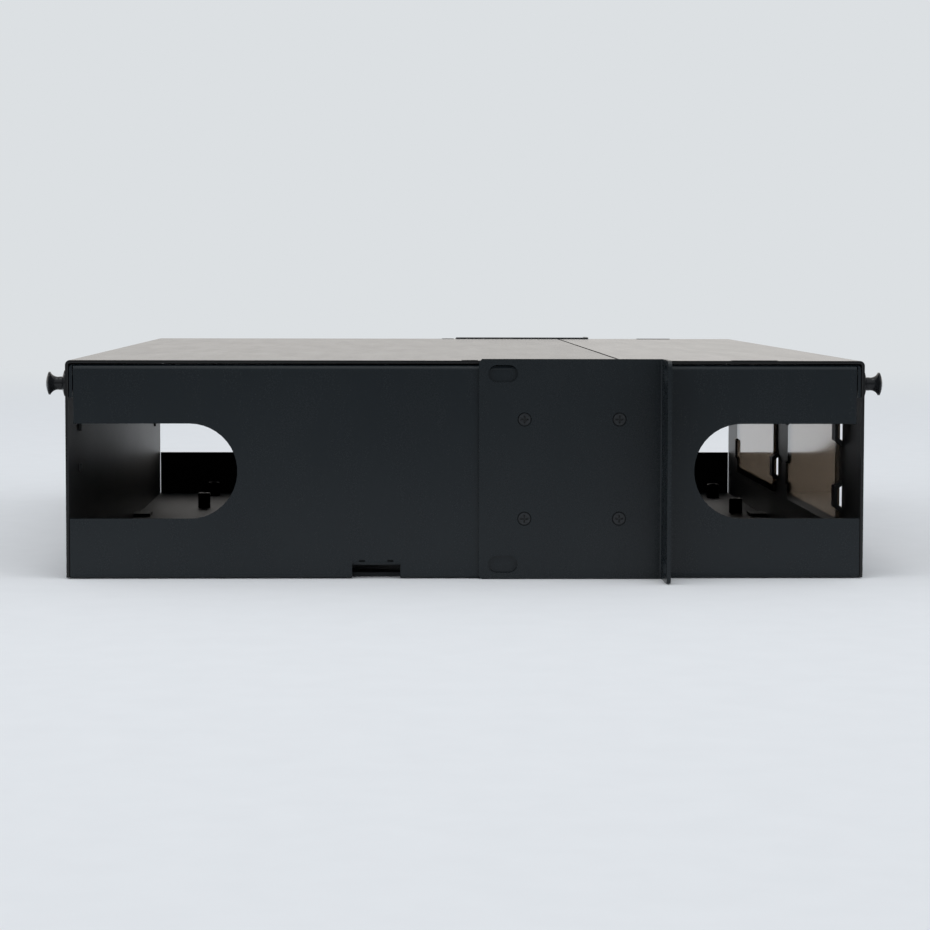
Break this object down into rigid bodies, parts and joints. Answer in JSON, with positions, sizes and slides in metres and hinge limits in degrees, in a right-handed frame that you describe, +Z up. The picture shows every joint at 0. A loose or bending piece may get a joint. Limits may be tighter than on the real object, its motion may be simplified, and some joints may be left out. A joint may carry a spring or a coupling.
{
  "type": "rack-mount fibre enclosure",
  "caption": "Flat black steel rack enclosure for fibre patching, with pull-off front and rear covers, windows, side cable notches and reversible rack brackets.",
  "frame": {"origin": "middle of the bottom face, halfway between the two brackets' ears and between the front and rear pull knobs", "axes": "+X to the right seen from the front, +Y to the rear, +Z up; the windows look towards -Y"},
  "size_m": [0.4826, 0.3362, 0.0879],
  "materials": {
    "powder_coat_pan": "satin black powder coat, fine texture",
    "powder_coat_cover": "satin black powder coat, fine texture",
    "powder_coat_bracket": "satin black powder coat",
    "black_screw": "black oxide",
    "black_nylon": "moulded nylon, semi gloss",
    "bronze_acrylic": "bronze tinted clear acrylic",
    "zinc_steel": "zinc plated",
    "adapter_blue": "moulded, matte",
    "tray_plastic": "moulded ABS, matte",
    "tray_clear": "clear polycarbonate",
    "comb_rubber": "soft moulded"
  },
  "bodies": {
    "chassis": {"adapter_bulkhead": "powder_coat_pan", "adapter_panel_1": "powder_coat_cover", "adapter_panel_2": "powder_coat_cover", "adapter_panel_3": "powder_coat_cover", "adapter_panel_4": "powder_coat_cover", "adapter_panel_5": "powder_coat_cover", "adapter_panel_6": "powder_coat_cover", "bracket_left": "powder_coat_bracket", "bracket_right": "powder_coat_bracket", "bracket_screws": "black_screw", "chassis_pan": "powder_coat_pan", "clinch_nuts": "zinc_steel", "duplex_adapters_1": "adapter_blue", "duplex_adapters_2": "adapter_blue", "duplex_adapters_3": "adapter_blue", "duplex_adapters_4": "adapter_blue", "duplex_adapters_5": "adapter_blue", "duplex_adapters_6": "adapter_blue", "floor_nuts": "zinc_steel", "floor_studs": "zinc_steel", "front_rail": "powder_coat_pan", "front_standoffs": "black_screw", "ground_nut": "zinc_steel", "ground_stud": "zinc_steel", "ground_washer": "zinc_steel", "panel_grommets": "black_nylon", "rear_rail": "powder_coat_pan", "rear_standoffs": "black_screw", "slack_spool_left": "tray_plastic", "slack_spool_right": "tray_plastic", "splice_combs": "comb_rubber", "splice_tray_lower": "tray_plastic", "splice_tray_middle": "tray_plastic", "splice_tray_upper": "tray_plastic", "tray_lids": "tray_clear", "tray_studs": "zinc_steel", "tray_thumb_nuts": "zinc_steel"},
    "front_cover_body": {"front_cover": "powder_coat_cover", "window_left": "bronze_acrylic", "window_right": "bronze_acrylic", "front_grommets": "black_nylon"},
    "rear_cover_body": {"rear_cover": "powder_coat_cover", "rear_grommets": "black_nylon"},
    "front_plunger_left": {"front_plunger_left": "black_nylon"},
    "front_plunger_right": {"front_plunger_right": "black_nylon"},
    "rear_plunger_left": {"rear_plunger_left": "black_nylon"},
    "rear_plunger_right": {"rear_plunger_right": "black_nylon"},
    "panel_plunger_1_left": {"panel_plunger_1_left": "black_nylon"},
    "panel_plunger_1_right": {"panel_plunger_1_right": "black_nylon"},
    "panel_plunger_2_left": {"panel_plunger_2_left": "black_nylon"},
    "panel_plunger_2_right": {"panel_plunger_2_right": "black_nylon"},
    "panel_plunger_3_left": {"panel_plunger_3_left": "black_nylon"},
    "panel_plunger_3_right": {"panel_plunger_3_right": "black_nylon"},
    "panel_plunger_4_left": {"panel_plunger_4_left": "black_nylon"},
    "panel_plunger_4_right": {"panel_plunger_4_right": "black_nylon"},
    "panel_plunger_5_left": {"panel_plunger_5_left": "black_nylon"},
    "panel_plunger_5_right": {"panel_plunger_5_right": "black_nylon"},
    "panel_plunger_6_left": {"panel_plunger_6_left": "black_nylon"},
    "panel_plunger_6_right": {"panel_plunger_6_right": "black_nylon"}
  },
  "joints": [
    {"name": "front_cover_slide", "type": "slide", "parent": "chassis", "child": "front_cover_body", "axis": [0, -1, 0], "range_m": [0, 0.12]},
    {"name": "rear_cover_slide", "type": "slide", "parent": "chassis", "child": "rear_cover_body", "axis": [0, 1, 0], "range_m": [0, 0.24]},
    {"name": "front_plunger_left_pull", "type": "slide", "parent": "front_cover_body", "child": "front_plunger_left", "axis": [0, -1, 0], "range_m": [0, 0.0045]},
    {"name": "front_plunger_right_pull", "type": "slide", "parent": "front_cover_body", "child": "front_plunger_right", "axis": [0, -1, 0], "range_m": [0, 0.0045]},
    {"name": "rear_plunger_left_pull", "type": "slide", "parent": "rear_cover_body", "child": "rear_plunger_left", "axis": [0, 1, 0], "range_m": [0, 0.0045]},
    {"name": "rear_plunger_right_pull", "type": "slide", "parent": "rear_cover_body", "child": "rear_plunger_right", "axis": [0, 1, 0], "range_m": [0, 0.0045]},
    {"name": "panel_plunger_1_left_pull", "type": "slide", "parent": "chassis", "child": "panel_plunger_1_left", "axis": [0, -1, 0], "range_m": [0, 0.0035]},
    {"name": "panel_plunger_1_right_pull", "type": "slide", "parent": "chassis", "child": "panel_plunger_1_right", "axis": [0, -1, 0], "range_m": [0, 0.0035]},
    {"name": "panel_plunger_2_left_pull", "type": "slide", "parent": "chassis", "child": "panel_plunger_2_left", "axis": [0, -1, 0], "range_m": [0, 0.0035]},
    {"name": "panel_plunger_2_right_pull", "type": "slide", "parent": "chassis", "child": "panel_plunger_2_right", "axis": [0, -1, 0], "range_m": [0, 0.0035]},
    {"name": "panel_plunger_3_left_pull", "type": "slide", "parent": "chassis", "child": "panel_plunger_3_left", "axis": [0, -1, 0], "range_m": [0, 0.0035]},
    {"name": "panel_plunger_3_right_pull", "type": "slide", "parent": "chassis", "child": "panel_plunger_3_right", "axis": [0, -1, 0], "range_m": [0, 0.0035]},
    {"name": "panel_plunger_4_left_pull", "type": "slide", "parent": "chassis", "child": "panel_plunger_4_left", "axis": [0, -1, 0], "range_m": [0, 0.0035]},
    {"name": "panel_plunger_4_right_pull", "type": "slide", "parent": "chassis", "child": "panel_plunger_4_right", "axis": [0, -1, 0], "range_m": [0, 0.0035]},
    {"name": "panel_plunger_5_left_pull", "type": "slide", "parent": "chassis", "child": "panel_plunger_5_left", "axis": [0, -1, 0], "range_m": [0, 0.0035]},
    {"name": "panel_plunger_5_right_pull", "type": "slide", "parent": "chassis", "child": "panel_plunger_5_right", "axis": [0, -1, 0], "range_m": [0, 0.0035]},
    {"name": "panel_plunger_6_left_pull", "type": "slide", "parent": "chassis", "child": "panel_plunger_6_left", "axis": [0, -1, 0], "range_m": [0, 0.0035]},
    {"name": "panel_plunger_6_right_pull", "type": "slide", "parent": "chassis", "child": "panel_plunger_6_right", "axis": [0, -1, 0], "range_m": [0, 0.0035]}
  ]
}
